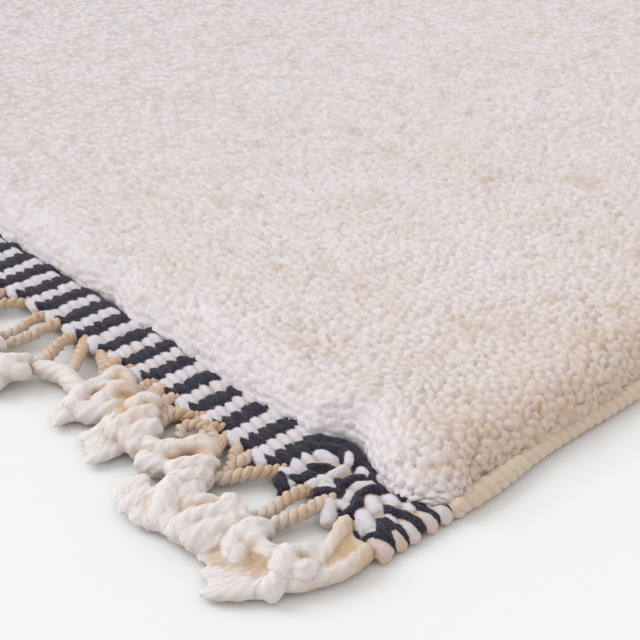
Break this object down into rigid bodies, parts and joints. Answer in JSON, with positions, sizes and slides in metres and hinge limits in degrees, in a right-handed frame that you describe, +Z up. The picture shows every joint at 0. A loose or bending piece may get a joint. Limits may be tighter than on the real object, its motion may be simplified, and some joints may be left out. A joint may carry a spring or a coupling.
{
  "type": "pile rug",
  "caption": "Cream hand-knotted wool pile rug lying flat, with overcast edge cords, a black and cream striped woven band at each end and a knotted fringe.",
  "frame": {"origin": "on the floor under the middle of the rug", "axes": "+X across the rug, +Y along its warp towards the far fringe, +Z up out of the pile"},
  "size_m": [0.9998, 1.66, 0.0256],
  "materials": {
    "pile_wool": "matte cut wool pile, cream",
    "overcast_wool": "matte overcast wool yarn, warm cream",
    "striped_weave": "matte weft-faced wool, blue-black and cream stripes",
    "warp_yarn": "matte unbleached warp yarn, tan cream"
  },
  "bodies": {
    "root": {"pile_field": "pile_wool", "edge_cord_right": "overcast_wool", "edge_cord_left": "overcast_wool", "end_band_front": "striped_weave", "end_band_back": "striped_weave", "fringe_front": "warp_yarn", "fringe_back": "warp_yarn"}
  },
  "joints": []
}
